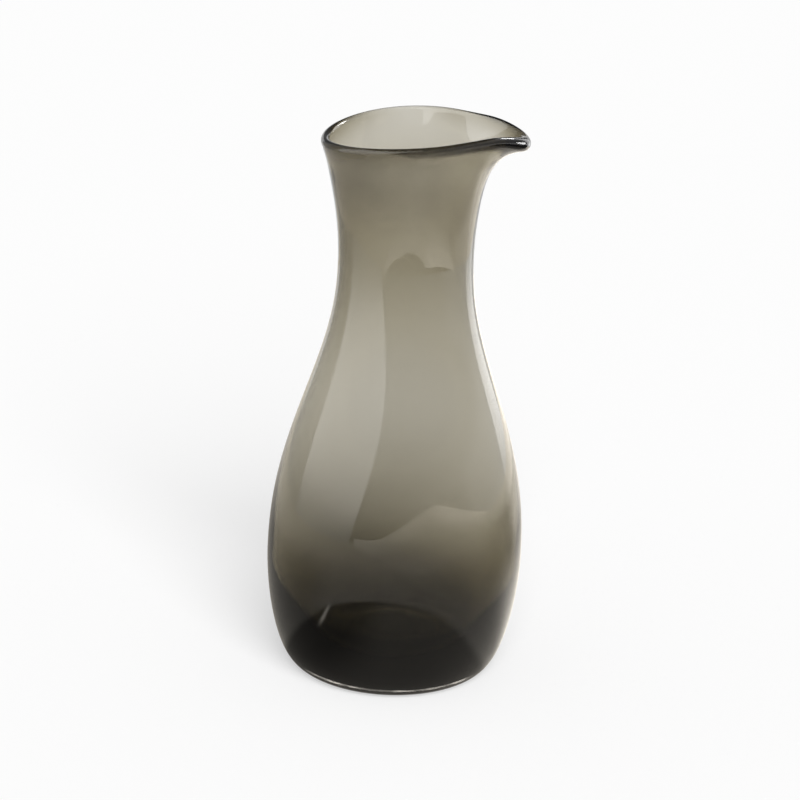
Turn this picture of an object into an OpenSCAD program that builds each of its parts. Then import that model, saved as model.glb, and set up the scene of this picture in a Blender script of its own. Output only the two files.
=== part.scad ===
// Mouth-blown glass water carafe: one piece of glass with a heavy foot, a
// round belly, a drawn-in neck and a flared mouth that is pulled into a spout.
// The axis is Z, the table is the plane Z = 0, and the spout points along +X.

/* [Body] */
// Height from the table to the highest point of the rim
height = 250; // [240:1:300]
// Diameter of the foot where its curve meets the table
foot_d = 86; // [70:1:100]
// Diameter of the belly at its widest
belly_d = 115; // [108:1:140]
// Height of the widest place of the belly
belly_z = 54; // [44:1:70]
// Diameter of the neck at its narrowest
waist_d = 59; // [48:1:72]
// Height of the narrowest place of the neck
waist_z = 187; // [165:1:200]
// Diameter of the round mouth, to the middle of its rim bead
rim_d = 71.6; // [66:0.2:90]
// Lean of the flared mouth from upright, at the rim, in degrees
rim_lean = 8; // [0:0.5:20]

/* [Glass thickness] */
// Thickness of the wall at the shoulder, where it is thinnest
shoulder_wall = 1.4; // [1:0.1:4]
// Thickness of the wall at the neck
neck_wall = 2.8; // [1.6:0.1:5]
// Thickness of the wall just below the rim
rim_wall = 2; // [1.6:0.1:3.8]
// What the heavy heel adds to the wall at the level of the table
heel_extra = 5.4; // [0:0.2:10]
// Height of the thin place between the heel and the neck
thin_z = 125; // [90:5:150]
// Height from which the wall has the thickness of the neck
thick_z = 210; // [180:5:230]
// Thickness of the glass in the middle of the foot, over the hollow
floor_t = 8.6; // [5:0.1:16]
// Diameter of the flat floor inside
floor_d = 64; // [30:1:76]
// Diameter of the ground hollow under the foot
punt_d = 60; // [30:1:66]
// Depth of the ground hollow under the foot
punt_depth = 1.4; // [0.6:0.1:3]

/* [Rim and spout] */
// Diameter of the fire-polished bead round the rim
bead_d = 4.2; // [4:0.1:6]
// Diameter of the bead at the tip of the spout
tip_bead_d = 7.4; // [4.4:0.1:8]
// Reach of the spout from the axis to the outside of its tip
spout_reach = 52.6; // [48:0.2:64]
// Height of the band of the neck that is drawn out with the spout
lip_depth = 38; // [30:1:60]
// Half angle of the spout from above, where a third of its pull is left, in degrees
spout_angle = 30; // [20:0.5:40]
// Distance from the axis to the highest place of the rim, towards the spout
rim_peak_x = 33; // [16:1:36]
// Fall of the rim from its highest place to the back of the mouth
back_drop = 6; // [0:0.5:10]
// Fall of the rim from its highest place to the tip of the spout
tip_drop = 7; // [0:0.2:12]
// Height of the band of the neck that takes up the rise and fall of the rim
sway_depth = 60; // [40:1:80]

/* [Hidden] */

foot_r = foot_d / 2;
belly_r = belly_d / 2;
waist_r = waist_d / 2;
rim_r = rim_d / 2;
bead_r = bead_d / 2;
floor_r = floor_d / 2;
floor_z = floor_t + punt_depth;
rim_z = height - bead_r;
tip_swell = (tip_bead_d - bead_d) / 2;

// How far each end of a curve keeps its own direction, as a share of the
// width or the height that the curve spans.
foot_round_share = 0.49;
belly_rise_share = 0.52;
belly_full_share = 0.43;
neck_draw_share = 0.33;
neck_straight_share = 0.43;
flare_share = 0.37;
floor_round_share = 0.48;
floor_rise_share = 0.52;

// The heel thins quickly going up: a higher power, a lower heel.
heel_power = 2.2;
// The lip bends outwards mostly in its last part: a higher power, a later bend.
lip_power = 5.1;
// The same for the spout seen from above: a higher power, a blunter tip.
spout_power = 2.4;
// Rows of faces close up towards the rim: 1 is evenly spaced.
rim_crowding = 1.6;
// Length over which the bead fades into the wall, as a share of its radius.
bead_fade_share = 5;
// Half angle over which the bead swells towards the tip, in degrees.
tip_swell_angle = 14;
// How closely the columns of faces crowd at the spout: 0 is evenly spaced.
crowding_share = 0.5;

foot_steps = 10;
shoulder_steps = 12;
mouth_steps = 13;
bead_steps = 6;
punt_steps = 3;
columns = 64;
degrees_per_radian = 180 / PI;

// A smooth curve from a to d that leaves towards b and arrives from c,
// without its first point. A crowding over 1 closes its points up near d.
function curve(a, b, c, d, steps, crowding = 1) = [
    for (k = [1:steps])
        let (s = pow(1 - k / steps, crowding), t = 1 - s)
            s * s * s * a + 3 * s * s * t * b + 3 * s * t * t * c + t * t * t * d
];

// The outside of the wall, as [radius, height], from the foot to the rim.
shoulder = waist_z - belly_z;
mouth = rim_z - waist_z;
lean = [sin(rim_lean), cos(rim_lean)];
foot_point = [foot_r, 0];
belly_point = [belly_r, belly_z];
waist_point = [waist_r, waist_z];
rim_point = [rim_r, rim_z] + rim_wall / 2 * [lean[1], -lean[0]];
outside = concat(
    [foot_point],
    curve(
        foot_point,
        foot_point + [foot_round_share * (belly_r - foot_r), 0],
        belly_point - [0, belly_rise_share * belly_z],
        belly_point,
        foot_steps
    ),
    curve(
        belly_point,
        belly_point + [0, belly_full_share * shoulder],
        waist_point - [0, neck_draw_share * shoulder],
        waist_point,
        shoulder_steps
    ),
    curve(
        waist_point,
        waist_point + [0, neck_straight_share * mouth],
        rim_point - flare_share * mouth * lean,
        rim_point,
        mouth_steps,
        rim_crowding
    )
);
last = len(outside) - 1;

// Unit vector out of the wall at point k of a line, in the plane of the line.
function outward(line, k) =
    let (along = line[min(k + 1, len(line) - 1)] - line[max(k - 1, 0)])
        [along[1], -along[0]] / norm(along);

// A smooth change from 0 at the start to 1 at the end.
function eased(value, start, end) =
    let (t = min(max((value - start) / (end - start), 0), 1))
        t * t * (3 - 2 * t);

// Thickness of the wall at a height.
function thickness_at(z) =
    shoulder_wall
    + heel_extra * pow(max(0, 1 - z / thin_z), heel_power)
    + (neck_wall - shoulder_wall) * eased(z, thin_z, thick_z)
    + (rim_wall - neck_wall) * eased(z, thick_z, rim_z);

// The inside of the wall, point for point beside the outside. From the belly
// up it keeps the thickness, and below the belly it turns onto the flat floor.
upper = [
    for (k = [foot_steps:last])
        outside[k] - thickness_at(outside[k][1]) * outward(outside, k)
];
floor_point = [floor_r, floor_z];
upper_start = upper[1] - upper[0];
inside = concat(
    [floor_point],
    curve(
        floor_point,
        floor_point + [floor_round_share * (upper[0][0] - floor_r), 0],
        upper[0] - floor_rise_share * (upper[0][1] - floor_z) * upper_start / norm(upper_start),
        upper[0],
        foot_steps
    ),
    [for (k = [1:len(upper) - 1]) upper[k]]
);
middle = (outside + inside) / 2;

// How far the mouth is drawn out of round at an angle from the spout.
function pull_at(angle) =
    (spout_reach - bead_r - tip_swell - rim_r) * exp(-pow(abs(angle) / spout_angle, spout_power));

// How far the rim falls below its highest place, at a distance x from the
// axis towards the spout.
function rim_fall(x) =
    x > rim_peak_x
        ? tip_drop * pow((x - rim_peak_x) / (spout_reach - rim_peak_x), 2)
        : back_drop * pow((rim_peak_x - x) / (rim_peak_x + rim_r), 2);

// Share of a change at the rim that is left at a depth below the rim.
function left_share(depth, band, power) = pow(max(0, 1 - depth / band), power);

// The middle of the wall at an angle from the spout, drawn out and swayed.
function drawn_line(angle) =
    let (
        pull = pull_at(angle),
        fall = rim_fall((rim_r + pull) * cos(angle))
    )
    [
        for (p = middle)
            let (depth = rim_z - p[1])
                p + [
                    pull * left_share(depth, lip_depth, lip_power),
                    -fall * left_share(depth, sway_depth, 2)
                ]
    ];

// The whole section at an angle from the spout, from the hollow under the
// foot, up the outside, over the bead, down the inside and onto the floor.
function section_at(angle) =
    let (
        line = drawn_line(angle),
        tip = line[last],
        bead = bead_r + tip_swell * exp(-pow(angle / tip_swell_angle, 2)),
        skins = [
            for (k = [0:last])
                let (
                    half = norm(outside[k] - inside[k]) / 2,
                    fade = left_share(norm(line[k] - tip), bead_fade_share * bead_r, 1.5),
                    turned = outward(line, k) - outward(middle, k),
                    swell = (bead - half) * fade * outward(line, k),
                    moved = line[k] - middle[k],
                    push = half * turned + swell
                )
                [outside[k] + moved + push, inside[k] + moved - push]
        ],
        away = outward(line, last),
        up = [-away[1], away[0]],
        cap = [
            for (k = [0:bead_steps])
                let (turn = 180 * k / bead_steps)
                    tip + bead * (cos(turn) * away + sin(turn) * up)
        ]
    )
    concat(
        [
            for (k = [1:punt_steps])
                let (t = k / punt_steps)
                    [t * punt_d / 2, punt_depth * (1 - t * t)]
        ],
        [for (k = [0:last - 1]) skins[k][0]],
        cap,
        [for (k = [last - 1:-1:0]) skins[k][1]]
    );

// The angle of a column of faces, signed, crowded towards the spout.
function column_angle(i) =
    let (even = 360 * i / columns - 180)
        even - crowding_share * sin(even) * degrees_per_radian;

sections = [for (i = [0:columns - 1]) section_at(column_angle(i))];
rows = len(sections[0]);

skin_points = concat(
    [
        for (i = [0:columns - 1], p = sections[i])
            let (angle = column_angle(i))
                [p[0] * cos(angle), p[0] * sin(angle), p[1]]
    ],
    [[0, 0, punt_depth], [0, 0, floor_z]]
);
under_centre = columns * rows;
floor_centre = under_centre + 1;

skin_faces = [
    for (i = [0:columns - 1])
        let (a = i * rows, b = ((i + 1) % columns) * rows)
            each concat(
                [[under_centre, a, b]],
                [for (j = [0:rows - 2]) each [[a + j, a + j + 1, b + j + 1], [a + j, b + j + 1, b + j]]],
                [[a + rows - 1, floor_centre, b + rows - 1]]
            )
];

// The whole carafe is one piece of smoke-grey glass.
module carafe_glass() {
    color([0.42, 0.39, 0.34, 0.75])
        polyhedron(points = skin_points, faces = skin_faces, convexity = 8);
}

carafe_glass();
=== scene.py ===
import math

import bmesh
import bpy
from mathutils import Euler, Matrix, Vector


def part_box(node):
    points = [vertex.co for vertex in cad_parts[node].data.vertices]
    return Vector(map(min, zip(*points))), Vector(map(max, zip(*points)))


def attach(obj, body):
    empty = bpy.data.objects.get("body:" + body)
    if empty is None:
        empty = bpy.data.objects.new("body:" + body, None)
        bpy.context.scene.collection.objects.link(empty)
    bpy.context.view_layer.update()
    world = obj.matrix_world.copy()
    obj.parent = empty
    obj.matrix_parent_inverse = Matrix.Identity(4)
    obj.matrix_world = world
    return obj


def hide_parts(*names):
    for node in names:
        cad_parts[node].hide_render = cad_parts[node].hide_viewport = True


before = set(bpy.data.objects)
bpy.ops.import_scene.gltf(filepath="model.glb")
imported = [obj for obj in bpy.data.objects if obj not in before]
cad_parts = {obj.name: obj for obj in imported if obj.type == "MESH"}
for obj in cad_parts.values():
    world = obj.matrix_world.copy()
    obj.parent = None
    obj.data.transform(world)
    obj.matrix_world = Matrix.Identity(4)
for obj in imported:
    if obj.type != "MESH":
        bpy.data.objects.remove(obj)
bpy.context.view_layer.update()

MM = 0.001
AXIS = (0.0, 0.0, 1.0)
CENTRE = (0.0, 0.0, 0.0)
WHITE = (1, 1, 1, 1)

glass_low, glass_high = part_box("carafe_glass")

# Sizes of the glass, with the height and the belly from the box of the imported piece
HEIGHT = glass_high[2]
BELLY_R = glass_high[0]
FOOT_R = 43 * MM
BELLY_Z = 54 * MM
WAIST_R = 29.5 * MM
WAIST_Z = 187 * MM
RIM_R = 35.8 * MM
RIM_LEAN = math.radians(8)
SHOULDER_WALL = 1.4 * MM
NECK_WALL = 2.8 * MM
RIM_WALL = 2.0 * MM
HEEL_EXTRA = 5.4 * MM
HEEL_POWER = 2.2
THIN_Z = 125 * MM
THICK_Z = 210 * MM
PUNT_R = 30 * MM
PUNT_DEPTH = 1.4 * MM
FLOOR_R = 32 * MM
FLOOR_Z = 10 * MM
FLOOR_ROUND = 0.48
FLOOR_RISE = 0.52
FLOOR_MOUND = 9 * MM
BEAD_R = 2.1 * MM
RIM_Z = HEIGHT - BEAD_R

# How far each end of a curve keeps its own direction, as shares of its span
FOOT_ROUND = 0.49
BELLY_RISE = 0.52
BELLY_FULL = 0.43
NECK_DRAW = 0.33
NECK_STRAIGHT = 0.43
FLARE = 0.37

# The spout, and the rise and fall of the rim
SPOUT_REACH = 52.6 * MM
TIP_BEAD_R = 3.7 * MM
LIP_DEPTH = 38 * MM
LIP_POWER = 5.1
PEAK_X = 33 * MM
TIP_DROP = 7 * MM
BACK_DROP = 6 * MM
SWAY_DEPTH = 60 * MM
SWAY_POWER = 2
BEAD_FADE = 5
BEAD_FADE_POWER = 1.5

# How much of the rim follows each pull, and how far its slim part is raised
SPOUT_GRIP = 34 * MM
TIP_GRIP = 21 * MM
BACK_GRIP = 73 * MM
SLIM_GRIP = 46 * MM
SLIM_RISE = 1.2 * MM

# How far the mask of the rim's painted shade reaches down the wall, and its share there
RIM_MASK_LENGTH = 5 * MM
RIM_MASK_SIDE = 0.7

# Bow of the hand-blown body towards the spout
BOW = 1.2 * MM
BOW_Z = 130 * MM
BOW_BAND = 6 * MM
BOW_GRIP = 130 * MM

# How finely the glass is drawn, and what counts as no distance
COLUMNS = 64
FOOT_STEPS = 9
SHOULDER_STEPS = 11
MOUTH_STEPS = 13
RIM_CROWDING = 1.6
BEAD_STEPS = 6
PUNT_STEPS = 3
FLOOR_STEPS = 6
SMOOTH_LEVELS = 2
NO_STEP = 0.002 * MM
TOUCHING = 0.01 * MM


def curve(a, b, c, d, steps, crowding=1.0):
    """Points of a smooth curve from a to d, without its first point."""
    points = []
    for k in range(1, steps + 1):
        s = (1 - k / steps) ** crowding
        t = 1 - s
        points.append(s**3 * a + 3 * s * s * t * b + 3 * s * t * t * c + t**3 * d)
    return points


def outside_line():
    """The outside of the wall as (radius, height), from the foot to the rim."""
    shoulder = WAIST_Z - BELLY_Z
    mouth = RIM_Z - WAIST_Z
    foot = Vector((FOOT_R, 0))
    belly = Vector((BELLY_R, BELLY_Z))
    waist = Vector((WAIST_R, WAIST_Z))
    lean = Vector((math.sin(RIM_LEAN), math.cos(RIM_LEAN)))
    rim = Vector((RIM_R, RIM_Z)) + RIM_WALL / 2 * Vector((lean.y, -lean.x))
    round_foot = foot + Vector((FOOT_ROUND * (BELLY_R - FOOT_R), 0))
    line = [foot]
    line += curve(foot, round_foot, belly - Vector((0, BELLY_RISE * BELLY_Z)), belly, FOOT_STEPS)
    line += curve(
        belly,
        belly + Vector((0, BELLY_FULL * shoulder)),
        waist - Vector((0, NECK_DRAW * shoulder)),
        waist,
        SHOULDER_STEPS,
    )
    line += curve(
        waist,
        waist + Vector((0, NECK_STRAIGHT * mouth)),
        rim - FLARE * mouth * lean,
        rim,
        MOUTH_STEPS,
        RIM_CROWDING,
    )
    return line


def eased(value, start, end):
    """0 up to start, 1 from end on, and smooth between."""
    t = min(max((value - start) / (end - start), 0), 1)
    return t * t * (3 - 2 * t)


def thickness(z):
    """Thickness of the wall at a height."""
    heel = HEEL_EXTRA * max(0, 1 - z / THIN_Z) ** HEEL_POWER
    neck = (NECK_WALL - SHOULDER_WALL) * eased(z, THIN_Z, THICK_Z)
    rim = (RIM_WALL - NECK_WALL) * eased(z, THICK_Z, RIM_Z)
    return SHOULDER_WALL + heel + neck + rim


def outward(line, k):
    """Unit vector out of the wall at point k of a line."""
    along = line[min(k + 1, len(line) - 1)] - line[max(k - 1, 0)]
    return Vector((along.y, -along.x)).normalized()


def inside_line(outside):
    """The inside of the wall, point for point beside the outside."""
    upper = [p - thickness(p.y) * outward(outside, k) for k, p in enumerate(outside)][FOOT_STEPS:]
    belly = upper[0]
    floor = Vector((FLOOR_R, FLOOR_Z))
    back = (upper[1] - belly).normalized()
    rise = belly.y - FLOOR_Z
    lower = curve(
        floor,
        floor + Vector((FLOOR_ROUND * (belly.x - FLOOR_R), 0)),
        belly - FLOOR_RISE * rise * back,
        belly,
        FOOT_STEPS,
    )
    return [floor] + lower + upper[1:]


OUTSIDE = outside_line()
INSIDE = inside_line(OUTSIDE)
MIDDLE = [(a + b) / 2 for a, b in zip(OUTSIDE, INSIDE)]
LAST = len(MIDDLE) - 1


def left_share(depth, band, power):
    """Share of a change at the rim that is left at a depth below it."""
    return max(0.0, 1 - depth / band) ** power


def section(pull, fall, bead):
    """The whole section, from under the foot to the floor, with its rim pulled out and lowered."""
    line = []
    for p in MIDDLE:
        depth = RIM_Z - p.y
        out = pull * left_share(depth, LIP_DEPTH, LIP_POWER)
        down = fall * left_share(depth, SWAY_DEPTH, SWAY_POWER)
        line.append(p + Vector((out, -down)))
    tip = line[LAST]
    outer, inner = [], []
    for k in range(LAST):
        half = (OUTSIDE[k] - INSIDE[k]).length / 2
        fade = left_share((line[k] - tip).length, BEAD_FADE * BEAD_R, BEAD_FADE_POWER)
        turned = outward(line, k) - outward(MIDDLE, k)
        push = half * turned + (bead - half) * fade * outward(line, k)
        moved = line[k] - MIDDLE[k]
        outer.append(OUTSIDE[k] + moved + push)
        inner.append(INSIDE[k] + moved - push)
    away = outward(line, LAST)
    up = Vector((-away.y, away.x))
    cap = []
    for k in range(BEAD_STEPS + 1):
        turn = math.pi * k / BEAD_STEPS
        cap.append(tip + bead * (math.cos(turn) * away + math.sin(turn) * up))
    punt = [
        Vector((PUNT_R * k / PUNT_STEPS, PUNT_DEPTH * (1 - (k / PUNT_STEPS) ** 2)))
        for k in range(PUNT_STEPS + 1)
    ]
    floor = []
    for k in range(1, FLOOR_STEPS + 1):
        share = k / FLOOR_STEPS
        floor.append(Vector((FLOOR_R * (1 - share), FLOOR_Z + FLOOR_MOUND * eased(share, 0, 1))))
    return punt + outer + cap + inner[::-1] + floor


def open_mesh(obj, mode="VERT"):
    """Enters edit mode on obj with nothing selected and nothing hidden."""
    bpy.ops.object.select_all(action="DESELECT")
    bpy.context.view_layer.objects.active = obj
    obj.select_set(True)
    bpy.ops.object.mode_set(mode="EDIT")
    bpy.ops.mesh.select_mode(type=mode)
    bpy.ops.mesh.reveal(select=False)
    bpy.ops.mesh.select_all(action="DESELECT")


def pick(obj, wanted):
    """Selects the vertices whose place passes the test wanted, and returns how many they are."""
    bm = bmesh.from_edit_mesh(obj.data)
    found = 0
    for v in bm.verts:
        chosen = not v.hide and wanted(v)
        v.select_set(chosen)
        found += chosen
    bm.select_flush_mode()
    bmesh.update_edit_mesh(obj.data)
    return found


def turn_section(points):
    """Draws the section beside the axis and spins it into a closed vessel."""
    first = points[0]
    bpy.ops.object.select_all(action="DESELECT")
    bpy.ops.mesh.primitive_plane_add(size=MM, location=(first.x, 0, first.y))
    vessel = bpy.context.object
    vessel.name = "carafe_blown_glass"
    bpy.ops.object.transform_apply(location=True, rotation=True, scale=True)
    open_mesh(vessel)
    bpy.ops.mesh.select_all(action="SELECT")
    bpy.ops.mesh.merge(type="CENTER")
    for here, there in zip(points, points[1:]):
        step = there - here
        bpy.ops.mesh.extrude_region_move(TRANSFORM_OT_translate={"value": (step.x, 0, step.y)})
    bpy.ops.mesh.select_all(action="SELECT")
    bpy.ops.mesh.spin(steps=COLUMNS, angle=math.tau, center=CENTRE, axis=AXIS)
    bpy.ops.mesh.select_all(action="SELECT")
    bpy.ops.mesh.remove_doubles(threshold=TOUCHING)
    bpy.ops.mesh.normals_make_consistent(inside=False)
    bpy.ops.object.mode_set(mode="OBJECT")
    return vessel


def pull_rows(vessel, rest, moved, way, grip):
    """Drags each row of the vessel where it lies furthest that way, and its near part follows."""
    open_mesh(vessel)
    for k, (here, there) in enumerate(zip(rest, moved)):
        step = there - here
        if step.length < NO_STEP:
            continue
        bm = bmesh.from_edit_mesh(vessel.data)
        row = bm.verts.layers.int["row"]
        pick(vessel, lambda v: v[row] == k)
        bpy.ops.mesh.hide(unselected=True)
        reach = max(way.dot(v.co) for v in bm.verts if not v.hide)
        pick(vessel, lambda v: way.dot(v.co) > reach - TOUCHING)
        bpy.ops.transform.translate(
            value=step.x * way + Vector((0, 0, step.y)),
            use_proportional_edit=True,
            proportional_edit_falloff="SMOOTH",
            proportional_size=grip,
        )
        bpy.ops.mesh.reveal(select=False)
    bpy.ops.object.mode_set(mode="OBJECT")


def number_rows(vessel, points):
    """Writes on each vertex which point of the section it was spun from."""
    mark = vessel.data.attributes.new("row", "INT", "POINT")
    for v in vessel.data.vertices:
        place = Vector((math.hypot(v.co.x, v.co.y), v.co.z))
        gaps = [(point - place).length_squared for point in points]
        mark.data[v.index].value = gaps.index(min(gaps))


def mark_rim(vessel):
    """Writes on each vertex how near it is to the rim, from 0 to 1, as the mask of the rim's painted shade.
    """
    rows = [mark.value for mark in vessel.data.attributes["row"].data]
    tip = MIDDLE[LAST]
    wall = [RIM_MASK_SIDE * left_share((p - tip).length, RIM_MASK_LENGTH, 1) for p in MIDDLE[:LAST]]
    turns = [math.pi * k / BEAD_STEPS for k in range(BEAD_STEPS + 1)]
    cap = [RIM_MASK_SIDE + (1 - RIM_MASK_SIDE) * math.sin(turn) for turn in turns]
    shares = [0] * (PUNT_STEPS + 1) + wall + cap + wall[::-1] + [0] * FLOOR_STEPS
    mark = vessel.data.attributes.new("rim", "FLOAT", "POINT")
    for v in vessel.data.vertices:
        mark.data[v.index].value = shares[rows[v.index]]


def make_vessel():
    """The whole carafe: spun, its rim drawn up, down and into a spout, and its body bowed a little."""
    rest = section(0, 0, BEAD_R)
    vessel = turn_section(rest)
    number_rows(vessel, rest)
    back = section(0, BACK_DROP, BEAD_R)
    pull_rows(vessel, rest, back, Vector((-1, 0, 0)), BACK_GRIP)
    tip_fall = TIP_DROP * ((SPOUT_REACH - TIP_BEAD_R - PEAK_X) / (SPOUT_REACH - PEAK_X)) ** 2
    fallen = section(0, tip_fall, BEAD_R)
    pull_rows(vessel, rest, fallen, Vector((1, 0, 0)), TIP_GRIP)
    drawn = section(SPOUT_REACH - TIP_BEAD_R - RIM_R, tip_fall, TIP_BEAD_R)
    pull_rows(vessel, fallen, drawn, Vector((1, 0, 0)), SPOUT_GRIP)
    slim = section(0, -SLIM_RISE, RIM_WALL / 2)
    pull_rows(vessel, rest, slim, Vector((0, 1, 0)), SLIM_GRIP)
    open_mesh(vessel)
    pick(vessel, lambda v: abs(v.co.z - BOW_Z) < BOW_BAND)
    bpy.ops.transform.translate(
        value=(BOW, 0, 0),
        use_proportional_edit=True,
        proportional_edit_falloff="SMOOTH",
        proportional_size=BOW_GRIP,
    )
    bpy.ops.object.mode_set(mode="OBJECT")
    mark_rim(vessel)
    vessel.data.attributes.remove(vessel.data.attributes["row"])
    smooth = vessel.modifiers.new("smooth", "SUBSURF")
    smooth.levels = SMOOTH_LEVELS
    smooth.render_levels = SMOOTH_LEVELS
    bpy.ops.object.modifier_apply(modifier="smooth")
    bpy.ops.object.shade_smooth()
    return vessel


class Wire:
    """A node socket that takes part in sums."""

    def __init__(self, maker, socket):
        self.maker = maker
        self.socket = socket

    def _math(self, operation, *values):
        return self.maker.add("ShaderNodeMath", {"operation": operation}, *values)

    def __add__(self, other):
        return self._math("ADD", self, other)

    def __radd__(self, other):
        return self._math("ADD", other, self)

    def __sub__(self, other):
        return self._math("SUBTRACT", self, other)

    def __rsub__(self, other):
        return self._math("SUBTRACT", other, self)

    def __mul__(self, other):
        return self._math("MULTIPLY", self, other)

    def __rmul__(self, other):
        return self._math("MULTIPLY", other, self)

    def at_most(self, other):
        return self._math("MINIMUM", self, other)

    def at_least(self, other):
        return self._math("MAXIMUM", self, other)

    def root(self):
        return self._math("SQRT", self)

    def angle(self, other):
        return self._math("ARCTAN2", self, other)

    def rise(self, start, end):
        """0 up to start, 1 from end on, and smooth between."""
        settings = {"interpolation_type": "SMOOTHSTEP"}
        made = self.maker.node("ShaderNodeMapRange", settings, self, start, end, 0.0, 1.0)
        return self.maker.wire(made, "Result")


class Maker:
    """Builds the nodes of one material or of the world."""

    def __init__(self, tree):
        self.tree = tree
        tree.nodes.clear()

    def node(self, kind, settings=None, *values, **named):
        made = self.tree.nodes.new(kind)
        for name, value in (settings or {}).items():
            setattr(made, name, value)
        for socket, value in list(enumerate(values)) + list(named.items()):
            key = socket if isinstance(socket, int) else socket.replace("_", " ")
            if isinstance(value, Wire):
                self.tree.links.new(value.socket, made.inputs[key])
            else:
                made.inputs[key].default_value = value
        return made

    def add(self, kind, settings=None, *values, **named):
        return Wire(self, self.node(kind, settings, *values, **named).outputs[0])

    def mix(self, factor, first, second):
        """One colour turning into another as the factor goes from 0 to 1."""
        made = self.node("ShaderNodeMix", {"data_type": "RGBA"}, factor)
        made.inputs[6].default_value = first
        made.inputs[7].default_value = second
        return Wire(self, made.outputs[2])

    def scaled(self, colour, share):
        """A colour made brighter or darker by a share."""
        return self.add("ShaderNodeVectorMath", {"operation": "SCALE"}, colour, Scale=share)

    def wire(self, node, name):
        return Wire(self, node.outputs[name])

    def place(self):
        """The place on the piece, in its Object coordinates."""
        return self.wire(self.node("ShaderNodeTexCoord"), "Object")

    def axes(self, place, names):
        """The coordinates of a place that the letters name."""
        parts = self.node("ShaderNodeSeparateXYZ", None, place)
        return [self.wire(parts, name) for name in names]


# Light that the glass takes out per metre, for red, green and blue
TAKEN = (248.0, 270.0, 339.0)
DENSITY = 500.0
GLASS_IOR = 1.5

# Slight waves of the hand-blown surface
WAVE_SCALE = 38.0
WAVE_DETAIL = 1.0
WAVE_ROUGHNESS = 0.4
WAVE_STRENGTH = 0.04
WAVE_DEPTH = 1 * MM

# Painted shade: a dense dark tint on the rim, all round and in the tip of the spout
RIM_SHADE_TINT = (0.04, 0.034, 0.026, 1)
RIM_SHADE_SHARE = 0.72
TIP_SHADE_SHARE = 1.0
TIP_START = 0.0
TIP_FULL = 34 * MM

# How near the rim the painted shade starts: in a wide band at the front and right, and in a narrow one
# elsewhere
RIM_SHADE_NARROW = 0.62
RIM_SHADE_WIDE = 0.15
RIM_SHADE_BLEND = 0.4
WIDE_START = -14 * MM
WIDE_FULL = 6 * MM
NARROW_START_Y = -9 * MM
NARROW_FULL_Y = -1 * MM

# The slim middle of the back of the rim, which holds none of the painted shade
BACK_START_Y = -4 * MM
BACK_FULL_Y = 14 * MM
BACK_MIDDLE_X = 5 * MM
BACK_HALF = 20 * MM
BACK_FADE = 13 * MM

# The same painted shade in the front of the upper neck, more of it on the left and none on the right
NECK_SHADE_SHARE = 0.27
NECK_LEFT = 0.18
NECK_LEFT_X = 22 * MM
NECK_RIGHT_X = 8 * MM
NECK_END_X = 26 * MM
NECK_START_Z = 203 * MM
NECK_FULL_Z = 233 * MM
NECK_FRONT_Y = -12 * MM
NECK_SIDE_Y = -2 * MM


def rim_painted_shade(make, x, y):
    """Share of the painted shade, a dense dark tint, that the rim holds."""
    rim = make.wire(make.node("ShaderNodeAttribute", {"attribute_name": "rim"}), "Fac")
    aside = (x - BACK_MIDDLE_X).at_least(BACK_MIDDLE_X - x).rise(BACK_HALF, BACK_HALF + BACK_FADE)
    front = 1 - y.rise(BACK_START_Y, BACK_FULL_Y) * (1 - aside)
    wide = x.rise(WIDE_START, WIDE_FULL) * (1 - y.rise(NARROW_START_Y, NARROW_FULL_Y))
    start = RIM_SHADE_NARROW - (RIM_SHADE_NARROW - RIM_SHADE_WIDE) * wide
    shaded = rim.rise(start, start + RIM_SHADE_BLEND) * front
    return (RIM_SHADE_SHARE + (TIP_SHADE_SHARE - RIM_SHADE_SHARE) * x.rise(TIP_START, TIP_FULL)) * shaded


def neck_painted_shade(x, y, z):
    """Share of the painted shade that the front of the upper neck holds."""
    left = NECK_LEFT * (-1 * x).rise(0.0, NECK_LEFT_X)
    right = NECK_SHADE_SHARE * x.rise(NECK_RIGHT_X, NECK_END_X)
    upper = (NECK_SHADE_SHARE + left - right) * z.rise(NECK_START_Z, NECK_FULL_Z)
    return upper * (1 - y.rise(NECK_FRONT_Y, NECK_SIDE_Y))


def smoke_glass():
    """Clear smoke-grey glass: its tone comes from its own thickness, and painted shade darkens its rim, the
    tip of its spout and the front of its upper neck.
    """
    material = bpy.data.materials.new("smoke_grey_glass")
    material.use_nodes = True
    make = Maker(material.node_tree)
    place = make.place()
    x, y, z = make.axes(place, "XYZ")
    waves = make.add(
        "ShaderNodeTexNoise",
        None,
        Vector=place,
        Scale=WAVE_SCALE,
        Detail=WAVE_DETAIL,
        Roughness=WAVE_ROUGHNESS,
    )
    bump = make.add("ShaderNodeBump", None, Strength=WAVE_STRENGTH, Distance=WAVE_DEPTH, Height=waves)
    # Painted shade: a dark tint mixed into the base colour at the rim, the spout tip and the front of the
    # upper neck
    tint = rim_painted_shade(make, x, y).at_least(neck_painted_shade(x, y, z))
    glass = make.add(
        "ShaderNodeBsdfPrincipled",
        None,
        Base_Color=make.mix(tint, WHITE, RIM_SHADE_TINT),
        Roughness=0.0,
        IOR=GLASS_IOR,
        Transmission_Weight=1.0,
        Normal=bump,
    )
    tone = tuple(1 - part / DENSITY for part in TAKEN) + (1,)
    volume = make.add("ShaderNodeVolumeAbsorption", None, Color=tone, Density=DENSITY)
    out = make.node("ShaderNodeOutputMaterial")
    make.tree.links.new(glass.socket, out.inputs["Surface"])
    make.tree.links.new(volume.socket, out.inputs["Volume"])
    return material


# The pale floor, and its own light that only the camera sees
FLOOR_GLOW = 0.5
FLOOR_HALF = 3.0
FLOOR_DROP = 0.4 * MM
FLOOR_PAINT = (0.97, 0.97, 0.97, 1)


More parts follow.
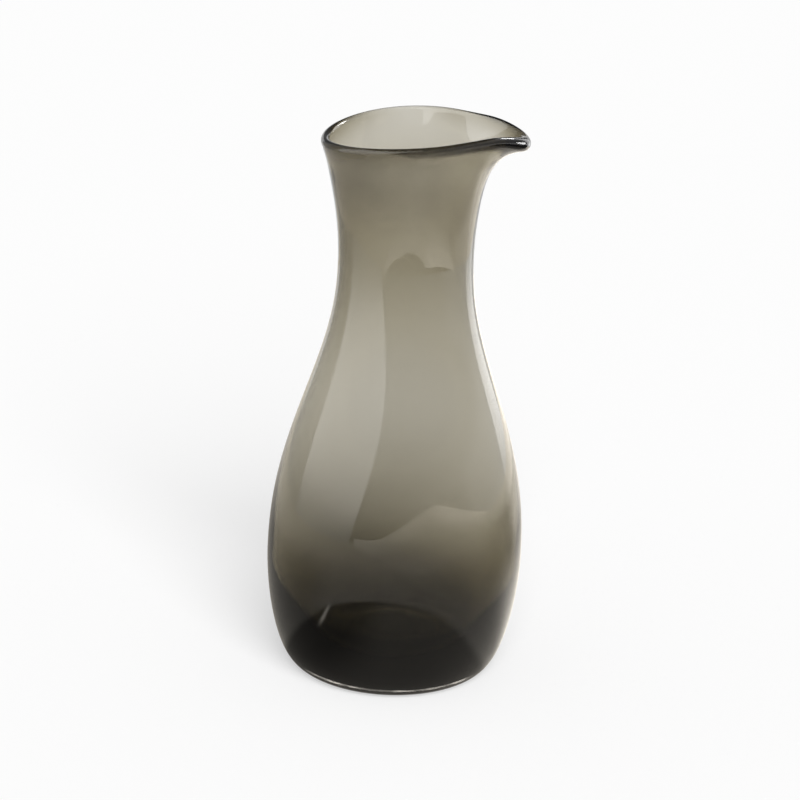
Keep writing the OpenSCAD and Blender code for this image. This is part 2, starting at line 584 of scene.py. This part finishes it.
def pale_floor():
    """Matt pale floor that shows nearly white and keeps a soft shadow."""
    material = bpy.data.materials.new("pale_floor")
    material.use_nodes = True
    make = Maker(material.node_tree)
    seen = make.wire(make.node("ShaderNodeLightPath"), "Is Camera Ray")
    paint = make.add("ShaderNodeBsdfDiffuse", None, Color=FLOOR_PAINT)
    glow = make.add("ShaderNodeEmission", None, Color=WHITE, Strength=1.0)
    mixed = make.add("ShaderNodeMixShader", None, seen * FLOOR_GLOW, paint, glow)
    out = make.node("ShaderNodeOutputMaterial")
    make.tree.links.new(mixed.socket, out.inputs["Surface"])
    bpy.ops.object.select_all(action="DESELECT")
    bpy.ops.mesh.primitive_plane_add(size=2 * FLOOR_HALF, location=(0, 0, -FLOOR_DROP))
    floor = bpy.context.object
    floor.name = "studio_floor"
    floor.data.materials.append(material)


# The large soft lamp in front and above, and the share of the light that comes from all round
LAMP_PLACE = Vector((0.25, -1.0, 0.9))
LAMP_SPREAD = math.radians(40)
LAMP_STRENGTH = 3.0
WORLD_FILL = 0.36
WHITE_FOR = ("Is Camera Ray", "Is Glossy Ray", "Is Transmission Ray")


def soft_lamp():
    """One large soft lamp that the glass doesn't mirror."""
    bpy.ops.object.select_all(action="DESELECT")
    bpy.ops.object.light_add(type="SUN", location=LAMP_PLACE)
    lamp = bpy.context.object
    lamp.name = "soft_lamp"
    lamp.rotation_euler = LAMP_PLACE.to_track_quat("Z", "Y").to_euler()
    lamp.data.angle = LAMP_SPREAD
    lamp.data.energy = LAMP_STRENGTH
    lamp.visible_glossy = False
    lamp.visible_transmission = False


def white_world():
    """White all round, and softer as a light."""
    world = bpy.data.worlds.new("white_studio")
    bpy.context.scene.world = world
    world.use_nodes = True
    make = Maker(world.node_tree)
    path = make.node("ShaderNodeLightPath")
    seen, mirrored, through = (make.wire(path, name) for name in WHITE_FOR)
    strength = WORLD_FILL + (1 - WORLD_FILL) * (seen + mirrored + through).at_most(1)
    back = make.add("ShaderNodeBackground", None, Color=WHITE, Strength=strength)
    out = make.node("ShaderNodeOutputWorld")
    make.tree.links.new(back.socket, out.inputs["Surface"])


# Camera, fitted to the photograph's outline
CAMERA_FAR = 1.2
CAMERA_RISE = 0.3553
CAMERA_ROLL = 0.0380
CAMERA_END = 20.0
PIXELS_PER_MM = 2.2566
PICTURE = 800
SENSOR = 36.0
CENTRE_PIXEL = Vector((399.08, 397.80))


def place_camera():
    """The camera at the photograph's angle, with the carafe where the photograph has it."""
    data = bpy.data.cameras.new("photo_camera")
    camera = bpy.data.objects.new("photo_camera", data)
    bpy.context.scene.collection.objects.link(camera)
    bpy.context.scene.camera = camera
    data.sensor_width = SENSOR
    data.lens = PIXELS_PER_MM * CAMERA_FAR / MM / PICTURE * SENSOR
    middle = Vector((0, 0, HEIGHT / 2))
    back = Vector((0, -math.cos(CAMERA_RISE), math.sin(CAMERA_RISE)))
    camera.location = middle + CAMERA_FAR * back
    turned = Euler((math.pi / 2 - CAMERA_RISE, 0, 0)).to_matrix()
    camera.rotation_euler = (turned @ Matrix.Rotation(CAMERA_ROLL, 3, "Z")).to_euler()
    data.shift_x = (PICTURE / 2 - CENTRE_PIXEL.x) / PICTURE
    data.shift_y = (CENTRE_PIXEL.y - PICTURE / 2) / PICTURE
    data.clip_end = CAMERA_END


# The studio that the glass mirrors: cards, a small lamp and a small flag
WARM = (1.0, 0.94, 0.84)
PLAIN = (1.0, 1.0, 1.0)
SOFT_EDGE = math.radians(1.2)
ROUND_SIDES = 96

# The table top. Turns are about the upright axis, 0 in front and growing towards the right
TABLE_R = 0.6
CARD_DROP = 0.2 * MM
TABLE_GLOW = 0.36
TABLE_PALE = 0.3
PALE_START = 0.17
PALE_FULL = 0.36
LEFT_DARK = 0.55
LEFT_START = math.radians(60)
LEFT_FULL = math.radians(110)
FRONT_GLOW = 0.34
FRONT_START = math.radians(45)
FRONT_FULL = math.radians(70)
RIGHT_TABLE_START = math.radians(70)
RIGHT_TABLE_FULL = math.radians(95)
RIGHT_TABLE_NEAR = 0.37
RIGHT_TABLE_FAR = 0.43

# Brighter parts of the table on the right: near the foot, behind it, and far out
SIDE_GLOW = 1.05
SIDE_START = math.radians(70)
SIDE_FULL = math.radians(115)
SIDE_NEAR = 0.11
SIDE_FAR = 0.22
BACK_SIDE_GLOW = 1.0
BACK_SIDE_START = math.radians(112)
BACK_SIDE_FULL = math.radians(128)
BACK_SIDE_NEAR = 0.1
BACK_SIDE_FAR = 0.3
FAR_SIDE_GLOW = 0.6
FAR_SIDE_START = math.radians(75)
FAR_SIDE_FULL = math.radians(95)
FAR_SIDE_NEAR = 0.46
FAR_SIDE_FAR = 0.52

# The line on the table behind the low card, and the dark table beyond it
BACK_START = Vector((-0.4, -0.53))
BACK_END = Vector((0.62, -0.08))
BEYOND_GLOW = 0.08
BEYOND_EDGE = 0.004

# The round shade on the table in front of the foot
SHADE_PLACE = Vector((-0.012, -0.08))
SHADE_R = 0.087
SHADE_EDGE = 0.006
SHADE_GLOW = 0.38
SHADE_DEEP = 0.14
DEEP_X = -0.055

# The bright line round the foot, and the glints along it
RING_GLOW = 3.6
RING_INNER = 0.0473
RING_OUTER = 0.0485
RING_EDGE = 0.0004
RING_START = math.radians(38)
RING_FULL = math.radians(60)
GLINT_SCALE = 160.0
GLINT_DETAIL = 1.0
GLINT_DARK = 0.35
GLINT_BRIGHT = 0.7
GLINT_LEAST = 0.4

# The short bright fleck on the table to the left
FLECK_START = Vector((-0.104, -0.1))
FLECK_END = Vector((-0.076, -0.055))
FLECK_HALF = 0.005
FLECK_FADE = 0.02
FLECK_GLOW = 1.7

# The wall of cards: a bright slanting panel on the left, a dark gap, and a paler right side
WALL_TOP = 0.9
WALL_SIDES = 180
WALL_PINCH = 0.78
WALL_LEFT = math.radians(-138)
WALL_RIGHT = math.radians(147)
LEFT_GLOW = 0.5
PANEL_LEFT = math.radians(-99)
PANEL_RIGHT = math.radians(-40)
PANEL_SLANT = math.radians(68)
PANEL_GLOW = 2.2
PANEL_FOOT_GLOW = 0.9
PANEL_FOOT = 0.14
GAP_GLOW = 0.3
HIGH_GLOW = 0.4
HIGH_START = 0.3
HIGH_FULL = 0.6
RIGHT_GLOW = 1.0
RIGHT_START = math.radians(-5)
RIGHT_FULL = math.radians(75)
RIGHT_DIM = 0.8
RIGHT_DIM_START = 0.13
RIGHT_DIM_FULL = 0.2
RIGHT_LOW = 0.45
RIGHT_LOW_END = math.radians(60)
RIGHT_LOW_START = 0.1
RIGHT_LOW_FULL = 0.25

# The bright strip at the far right of the wall, and the lamp high up in it
STRIP_START = math.radians(121)
STRIP_GLOW = 2.0
STRIP_START_Z = -0.06
STRIP_FOOT = 0.1
HIGH_LAMP_GLOW = 14.0
HIGH_LAMP_LEFT = math.radians(113)
HIGH_LAMP_RIGHT = math.radians(138)
HIGH_LAMP_FOOT = 0.6
HIGH_LAMP_TOP = 0.8
HIGH_LAMP_EDGE = 0.02

# The dark ceiling
CEILING_Z = 0.9
CEILING_R = 4.0
CEILING_GLOW = 0.12

# The small lamp and the small dark flag that the tip of the spout mirrors
TIP_PLACE = Vector((0.048, -0.009, 0.246))
TIP_LAMP_PLACE = Vector((0.193, 0.027, 0.232))
TIP_LAMP_R = 0.033
TIP_LAMP_SIDES = 32
TIP_LAMP_SHARE = 0.55
TIP_LAMP_GLOW = 12.0
FLAG_PLACE = Vector((0.09, -0.004, 0.218))
FLAG_TALL = 0.024
FLAG_WIDE = 0.052
FLAG_GLOW = 0.1

# The low pale card: places on its top edge from left to right, and where each stretch between them bends to
CARD_LEFT = Vector((-0.4, -0.49, 0.005))
SLOPE_AIM = Vector((-0.215, -0.375, 0.028))
CARD_SHOULDER = Vector((-0.065, -0.37, 0.046))
FLANK_AIM = Vector((0.09, -0.23, 0.102))
CARD_PEAK = Vector((0.145, -0.23, 0.103))
FALL_AIM = Vector((0.29, -0.22, 0.088))
CARD_RIGHT = Vector((0.62, -0.01, 0.001))
CARD_ROUND = 0.6
CARD_STEPS = 6
CARD_FOOT_GLOW = 1.1
CARD_EDGE_GLOW = 0.4
CARD_RIGHT_GLOW = 1.0
CARD_RIGHT_START = 0.11
CARD_RIGHT_FULL = 0.2
CARD_FADE = 0.045
CARD_LEFT_SLOPE = 0.275
CARD_RIGHT_SLOPE = 0.19


def mirrored_only(card, tint, glow):
    """Makes a card shine, evenly or as the function glow draws it, and shows it to reflections alone."""
    material = bpy.data.materials.new(card.name + "_light")
    material.use_nodes = True
    make = Maker(material.node_tree)
    if callable(glow):
        light = make.add("ShaderNodeEmission", None, Color=make.scaled(tint, glow(make)), Strength=1.0)
    else:
        light = make.add("ShaderNodeEmission", None, Color=tint + (1,), Strength=glow)
    out = make.node("ShaderNodeOutputMaterial")
    make.tree.links.new(light.socket, out.inputs["Surface"])
    material.cycles.emission_sampling = "NONE"
    card.data.materials.append(material)
    card.visible_camera = False
    card.visible_diffuse = False
    card.visible_transmission = False
    card.visible_volume_scatter = False
    card.visible_shadow = False


def within(value, start, end, edge):
    """1 between start and end, 0 outside them, and smooth at both."""
    return value.rise(start - edge, start + edge) - value.rise(end - edge, end + edge)


def along(x, y, start, way):
    """How far a place on the table lies along a line."""
    return (x - start.x) * way.x + (y - start.y) * way.y


def beside(x, y, start, way):
    """How far a place on the table lies to the right of a line."""
    return (x - start.x) * way.y - (y - start.y) * way.x


def right_table(turn, far):
    """Light of the brighter parts of the table on the right."""
    near_side = SIDE_GLOW * turn.rise(SIDE_START, SIDE_FULL) * (1 - far.rise(SIDE_NEAR, SIDE_FAR))
    back_side = turn.rise(BACK_SIDE_START, BACK_SIDE_FULL) * far.rise(BACK_SIDE_NEAR, BACK_SIDE_FAR)
    far_side = turn.rise(FAR_SIDE_START, FAR_SIDE_FULL) * far.rise(FAR_SIDE_NEAR, FAR_SIDE_FAR)
    return near_side + (BACK_SIDE_GLOW * back_side).at_least(FAR_SIDE_GLOW * far_side)


def open_table(turn, far):
    """Light of the table outside the shade: paler further out, and darker on the left."""
    outer = far.rise(PALE_START, PALE_FULL)
    left = 1 - LEFT_DARK * (-1 * turn).rise(LEFT_START, LEFT_FULL)
    front = 1 - (-1 * turn).rise(FRONT_START, FRONT_FULL) * (1 - outer)
    right = turn.rise(RIGHT_TABLE_START, RIGHT_TABLE_FULL)
    plain = 1 - right * (1 - far.rise(RIGHT_TABLE_NEAR, RIGHT_TABLE_FAR))
    return TABLE_GLOW + (FRONT_GLOW * front + TABLE_PALE * outer * left) * plain + right_table(turn, far)


def foot_ring(make, place, turn, far):
    """Light of the bright line round the front of the foot, broken into glints."""
    spots = make.add("ShaderNodeTexNoise", None, Vector=place, Scale=GLINT_SCALE, Detail=GLINT_DETAIL)
    glints = GLINT_LEAST + spots.rise(GLINT_DARK, GLINT_BRIGHT)
    aside = turn.at_least(-1 * turn).rise(RING_START, RING_FULL)
    return RING_GLOW * within(far, RING_INNER, RING_OUTER, RING_EDGE) * (1 - aside) * glints


def table_fleck(x, y):
    """Light of the short bright fleck."""
    length = (FLECK_END - FLECK_START).length
    way = (FLECK_END - FLECK_START) / length
    run = along(x, y, FLECK_START, way)
    off = beside(x, y, FLECK_START, way)
    thin = 1 - off.at_least(-1 * off).rise(0.0, FLECK_HALF)
    return FLECK_GLOW * thin * run.rise(0.0, FLECK_FADE) * (1 - run.rise(length - FLECK_FADE, length))


def table_glow(make):
    """Light of the table top: the shade in front of the foot, the open table, and the dark part beyond."""
    place = make.place()
    x, y = make.axes(place, "XY")
    far = (x * x + y * y).root()
    turn = x.angle(-1 * y)
    shade = SHADE_DEEP + (SHADE_GLOW - SHADE_DEEP) * x.rise(DEEP_X, 0.0)
    off_x = x - SHADE_PLACE.x
    off_y = y - SHADE_PLACE.y
    outside = (off_x * off_x + off_y * off_y).root().rise(SHADE_R - SHADE_EDGE, SHADE_R + SHADE_EDGE)
    near = shade + (open_table(turn, far) - shade) * outside
    back = (BACK_END - BACK_START).normalized()
    beyond = beside(x, y, BACK_START, back).rise(-BEYOND_EDGE, BEYOND_EDGE)
    table = near + (BEYOND_GLOW - near) * beyond
    return table + foot_ring(make, place, turn, far) + table_fleck(x, y)


def right_wall(turn, z):
    """Light of the wall's right side, darker low down in front and darker again high up."""
    low = (1 - z.rise(RIGHT_LOW_START, RIGHT_LOW_FULL)) * (1 - turn.rise(RIGHT_LOW_END, RIGHT_FULL))
    dim = 1 - RIGHT_DIM * z.rise(RIGHT_DIM_START, RIGHT_DIM_FULL)
    return RIGHT_GLOW * (1 - RIGHT_LOW * low) * dim * turn.rise(RIGHT_START, RIGHT_FULL)


def wall_glow(make):
    """Light of the wall: the panel, the gap, the right side, the strip and the high lamp."""
    x, y, z = make.axes(make.place(), "XYZ")
    turn = x.angle(-1 * y)
    high = HIGH_GLOW * z.rise(HIGH_START, HIGH_FULL)
    panel = PANEL_FOOT_GLOW + high + (PANEL_GLOW - PANEL_FOOT_GLOW) * z.rise(0.0, PANEL_FOOT)
    left = LEFT_GLOW + (panel - LEFT_GLOW) * turn.rise(PANEL_LEFT - SOFT_EDGE, PANEL_LEFT + SOFT_EDGE)
    right = GAP_GLOW + high + right_wall(turn, z)
    beyond = (turn - (PANEL_RIGHT + PANEL_SLANT * z)).rise(-SOFT_EDGE, SOFT_EDGE)
    strip = turn.rise(STRIP_START - SOFT_EDGE, STRIP_START + SOFT_EDGE) * z.rise(STRIP_START_Z, STRIP_FOOT)
    lamp = within(turn, HIGH_LAMP_LEFT, HIGH_LAMP_RIGHT, SOFT_EDGE)
    lamp = lamp * within(z, HIGH_LAMP_FOOT, HIGH_LAMP_TOP, HIGH_LAMP_EDGE)
    return left + (right - left) * beyond + STRIP_GLOW * strip + HIGH_LAMP_GLOW * lamp


def low_card_glow(make):
    """Light of the low pale card, palest along its top edge and to the right."""
    x, z = make.axes(make.place(), "XZ")
    rising = CARD_PEAK.z - CARD_LEFT_SLOPE * (CARD_PEAK.x - x)
    falling = CARD_PEAK.z - CARD_RIGHT_SLOPE * (x - CARD_PEAK.x)
    edge = (z - rising.at_most(falling)).rise(-CARD_FADE, 0.0)
    edge_glow = CARD_EDGE_GLOW + CARD_RIGHT_GLOW * x.rise(CARD_RIGHT_START, CARD_RIGHT_FULL)
    return CARD_FOOT_GLOW + edge_glow * edge


def ceiling_glow(make):
    """Light of the dark ceiling, a little paler at its edge."""
    x, y = make.axes(make.place(), "XY")
    return CEILING_GLOW + CEILING_GLOW * (x * x + y * y).root().rise(TABLE_R, CEILING_R)


def card_top():
    """The top edge of the low card: a gentle slope, a steeper flank up to its peak, and a long fall."""
    stretches = (
        (CARD_LEFT, SLOPE_AIM, CARD_SHOULDER),
        (CARD_SHOULDER, FLANK_AIM, CARD_PEAK),
        (CARD_PEAK, FALL_AIM, CARD_RIGHT),
    )
    line = [CARD_LEFT]
    for start, aim, end in stretches:
        line += curve(start, start.lerp(aim, CARD_ROUND), end.lerp(aim, CARD_ROUND), end, CARD_STEPS)
    return line


def low_card():
    """A low card with a curved top, standing on the table in front of the carafe."""
    top = card_top()
    bpy.ops.object.select_all(action="DESELECT")
    bpy.ops.mesh.primitive_plane_add(size=MM, location=top[0])
    card = bpy.context.object
    card.name = "low_card"
    bpy.ops.object.transform_apply(location=True, rotation=True, scale=True)
    open_mesh(card)
    bpy.ops.mesh.select_all(action="SELECT")
    bpy.ops.mesh.merge(type="CENTER")
    for here, there in zip(top, top[1:]):
        bpy.ops.mesh.extrude_region_move(TRANSFORM_OT_translate={"value": there - here})
    bpy.ops.mesh.select_all(action="SELECT")
    bpy.ops.mesh.extrude_region_move(TRANSFORM_OT_translate={"value": (0, 0, 0)})
    bpy.ops.transform.resize(value=(1, 1, 0), center_override=CENTRE)
    bpy.ops.object.mode_set(mode="OBJECT")
    mirrored_only(card, WARM, low_card_glow)


def round_card(name, radius, sides, place):
    """A flat round card."""
    bpy.ops.object.select_all(action="DESELECT")
    bpy.ops.mesh.primitive_circle_add(vertices=sides, radius=radius, fill_type="NGON", location=place)
    card = bpy.context.object
    card.name = name
    return card


def tip_lamp():
    """A small lamp beside the rim, for the tip of the spout to mirror."""
    card = round_card("tip_lamp", TIP_LAMP_R, TIP_LAMP_SIDES, CENTRE)
    bpy.ops.transform.resize(value=(1, TIP_LAMP_SHARE, 1), center_override=CENTRE)
    card.location = TIP_LAMP_PLACE
    card.rotation_euler = (TIP_LAMP_PLACE - TIP_PLACE).to_track_quat("Z", "Y").to_euler()
    bpy.ops.object.transform_apply(location=True, rotation=True, scale=True)
    mirrored_only(card, PLAIN, TIP_LAMP_GLOW)


def tip_flag():
    """A small dark flag low beside the rim, for the underside of the spout to mirror."""
    bpy.ops.object.select_all(action="DESELECT")
    bpy.ops.mesh.primitive_plane_add(size=1, location=CENTRE)
    card = bpy.context.object
    card.name = "tip_flag"
    bpy.ops.transform.resize(value=(FLAG_TALL, FLAG_WIDE, 1), center_override=CENTRE)
    card.location = FLAG_PLACE
    card.rotation_euler = (0, math.pi / 2, 0)
    bpy.ops.object.transform_apply(location=True, rotation=True, scale=True)
    mirrored_only(card, PLAIN, FLAG_GLOW)


def wall_card():
    """A round wall, open behind and pressed in on the left."""
    bpy.ops.object.select_all(action="DESELECT")
    bpy.ops.mesh.primitive_cylinder_add(
        vertices=WALL_SIDES,
        radius=TABLE_R,
        depth=WALL_TOP,
        end_fill_type="NOTHING",
        location=(0, 0, WALL_TOP / 2),
    )
    wall = bpy.context.object
    wall.name = "wall_card"
    bpy.ops.object.transform_apply(location=True, rotation=True, scale=True)
    open_mesh(wall)
    pick(wall, lambda v: not WALL_LEFT < math.atan2(v.co.x, -v.co.y) < WALL_RIGHT)
    bpy.ops.mesh.delete(type="VERT")
    pick(wall, lambda v: v.co.x < 0)
    bpy.ops.transform.resize(value=(WALL_PINCH, 1, 1), center_override=CENTRE)
    bpy.ops.object.mode_set(mode="OBJECT")
    mirrored_only(wall, PLAIN, wall_glow)


def mirrored_studio():
    """The cards, the lamp and the flag. The ceiling also shows through the glass."""
    table = round_card("table_card", TABLE_R, ROUND_SIDES, (0, 0, -CARD_DROP))
    mirrored_only(table, WARM, table_glow)
    wall_card()
    ceiling = round_card("ceiling_card", CEILING_R, ROUND_SIDES, (0, 0, CEILING_Z))
    mirrored_only(ceiling, PLAIN, ceiling_glow)
    ceiling.visible_transmission = True
    low_card()
    tip_lamp()
    tip_flag()


place_camera()
white_world()
soft_lamp()
pale_floor()
mirrored_studio()

vessel = make_vessel()
vessel.data.materials.append(smoke_glass())
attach(vessel, "root")
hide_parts("carafe_glass")

# Light crosses many walls of glass, so it may bend and bounce more often than usual
GLASS_BOUNCES = 24
MIRROR_BOUNCES = 8
cycles = bpy.context.scene.cycles
cycles.max_bounces = GLASS_BOUNCES
cycles.transmission_bounces = GLASS_BOUNCES
cycles.glossy_bounces = MIRROR_BOUNCES
bpy.context.scene.view_settings.view_transform = "Standard"
